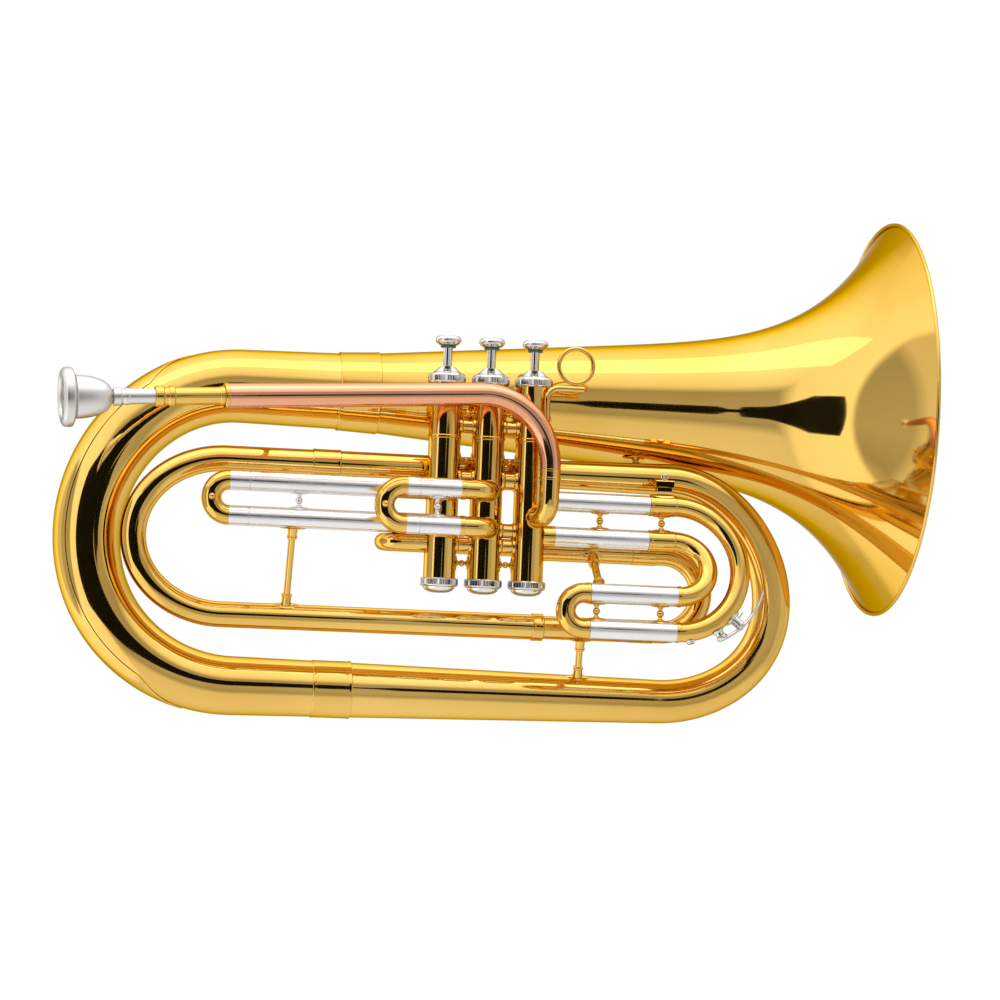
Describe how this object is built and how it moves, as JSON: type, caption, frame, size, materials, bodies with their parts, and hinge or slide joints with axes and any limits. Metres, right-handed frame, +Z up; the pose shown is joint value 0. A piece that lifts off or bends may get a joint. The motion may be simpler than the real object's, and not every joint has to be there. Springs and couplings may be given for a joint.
{
  "type": "marching euphonium",
  "caption": "Forward-facing brass euphonium with three piston valves, pull slides, a flared bell, a leadpipe with mouthpiece, a water key and a lyre holder.",
  "frame": {"origin": "middle of the valve cluster, on the second valve's axis, where the right hand closes round the casings", "axes": "+X along the bell axis towards the bell, +Y from the valves towards the bell's side, +Z up along the valve stems"},
  "size_m": [0.5823, 0.279, 0.3651],
  "materials": {
    "yellow_lacquer": "gloss",
    "rose_lacquer": "gloss",
    "nickel_silver": "gloss",
    "silver_plate": "gloss",
    "piston_nickel": "satin",
    "spring_steel": "satin",
    "felt": "matte",
    "cork": "matte"
  },
  "bodies": {
    "root": {"bell": "yellow_lacquer", "bell_rim_wire": "yellow_lacquer", "large_bow": "yellow_lacquer", "bottom_branch": "yellow_lacquer", "upper_mid_tube": "yellow_lacquer", "mid_bow": "yellow_lacquer", "body_ferrules": "yellow_lacquer", "outlet_tube": "yellow_lacquer", "tuning_sleeves": "nickel_silver", "lead_elbow": "yellow_lacquer", "leadpipe": "rose_lacquer", "mouthpiece_receiver": "yellow_lacquer", "valve_casing_1": "yellow_lacquer", "valve_casing_2": "yellow_lacquer", "valve_casing_3": "yellow_lacquer", "top_cap_1": "silver_plate", "top_cap_2": "silver_plate", "top_cap_3": "silver_plate", "bottom_cap_1": "silver_plate", "bottom_cap_2": "silver_plate", "bottom_cap_3": "silver_plate", "valve_spring_1": "spring_steel", "valve_spring_2": "spring_steel", "valve_spring_3": "spring_steel", "valve_knuckles": "yellow_lacquer", "second_elbows": "yellow_lacquer", "valve_braces": "yellow_lacquer", "first_sleeves": "nickel_silver", "second_sleeves": "nickel_silver", "third_sleeves": "nickel_silver", "third_outer_bend": "yellow_lacquer", "third_inner_bend": "yellow_lacquer", "slide_braces": "yellow_lacquer", "body_stays": "yellow_lacquer", "finger_hook": "yellow_lacquer", "finger_ring": "yellow_lacquer", "lyre_holder": "yellow_lacquer", "water_key_saddle": "silver_plate", "water_key_spring": "spring_steel"},
    "valve_1": {"piston_1": "piston_nickel", "valve_stem_1": "silver_plate", "finger_button_1": "silver_plate", "button_felt_1": "felt"},
    "valve_2": {"piston_2": "piston_nickel", "valve_stem_2": "silver_plate", "finger_button_2": "silver_plate", "button_felt_2": "felt"},
    "valve_3": {"piston_3": "piston_nickel", "valve_stem_3": "silver_plate", "finger_button_3": "silver_plate", "button_felt_3": "felt"},
    "first_slide": {"first_crook": "yellow_lacquer"},
    "second_slide": {"second_crook": "yellow_lacquer"},
    "third_slide": {"third_crook": "yellow_lacquer"},
    "tuning_slide": {"tuning_crook": "yellow_lacquer"},
    "mouthpiece_body": {"mouthpiece": "silver_plate"},
    "water_key": {"water_key_lever": "silver_plate", "water_key_cork": "cork"},
    "lyre_thumbscrew": {"lyre_screw": "silver_plate"}
  },
  "joints": [
    {"name": "valve_1_press", "type": "slide", "parent": "root", "child": "valve_1", "axis": [0, 0, -1], "range_m": [0, 0.0125], "stiffness_N_per_m": 180, "springref_m": -0.01, "deforming": ["valve_spring_1"]},
    {"name": "valve_2_press", "type": "slide", "parent": "root", "child": "valve_2", "axis": [0, 0, -1], "range_m": [0, 0.0125], "stiffness_N_per_m": 180, "springref_m": -0.01, "deforming": ["valve_spring_2"]},
    {"name": "valve_3_press", "type": "slide", "parent": "root", "child": "valve_3", "axis": [0, 0, -1], "range_m": [0, 0.0125], "stiffness_N_per_m": 180, "springref_m": -0.01, "deforming": ["valve_spring_3"]},
    {"name": "first_slide_pull", "type": "slide", "parent": "root", "child": "first_slide", "axis": [-1, 0, 0], "range_m": [0, 0.06]},
    {"name": "second_slide_pull", "type": "slide", "parent": "root", "child": "second_slide", "axis": [-1, 0, 0], "range_m": [0, 0.018]},
    {"name": "third_slide_pull", "type": "slide", "parent": "root", "child": "third_slide", "axis": [-1, 0, 0], "range_m": [0, 0.04]},
    {"name": "tuning_slide_pull", "type": "slide", "parent": "root", "child": "tuning_slide", "axis": [1, 0, 0], "range_m": [0, 0.025]},
    {"name": "mouthpiece_pull", "type": "slide", "parent": "root", "child": "mouthpiece_body", "axis": [-0.9902, -0.1216, -0.068], "range_m": [0, 0.03]},
    {"name": "water_key_press", "type": "hinge", "parent": "root", "child": "water_key", "pos_m": [0.17542, -0.01956, -0.09409], "axis": [0, -0.9715, 0.2372], "range_deg": [0, 12], "stiffness_Nm_per_rad": 0.03, "springref_deg": -28.65},
    {"name": "lyre_screw_turn", "type": "hinge", "parent": "root", "child": "lyre_thumbscrew", "pos_m": [0.123, 0, -0.0002], "axis": [0, 0, 1], "continuous": true}
  ]
}
